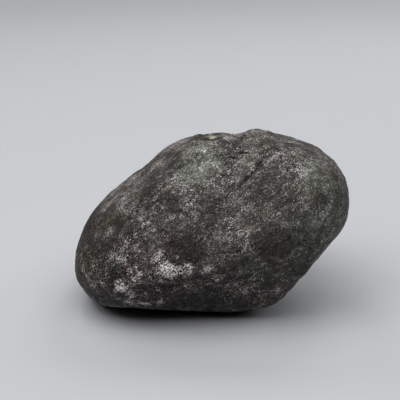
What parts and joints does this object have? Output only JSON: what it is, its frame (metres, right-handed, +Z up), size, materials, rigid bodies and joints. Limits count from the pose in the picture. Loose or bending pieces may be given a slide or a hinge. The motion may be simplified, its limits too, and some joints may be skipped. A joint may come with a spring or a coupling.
{
  "type": "rough jadeite boulder",
  "caption": "Water-worn rough jadeite boulder with dark weathered skin, an undercut right flank and a fresh chip on top showing pale yellow-green jade.",
  "frame": {"origin": "middle of the stone's box, at the level of its flat rest", "axes": "+X along the longest way, towards the undercut end; +Z up; -Y is the front, where the crease and the hollow are"},
  "size_m": [0.1614, 0.1174, 0.1032],
  "materials": {
    "weathered_skin": "dull water-worn skin with a fine sugary grain"
  },
  "bodies": {
    "root": {"jadeite_boulder": "weathered_skin"}
  },
  "joints": []
}
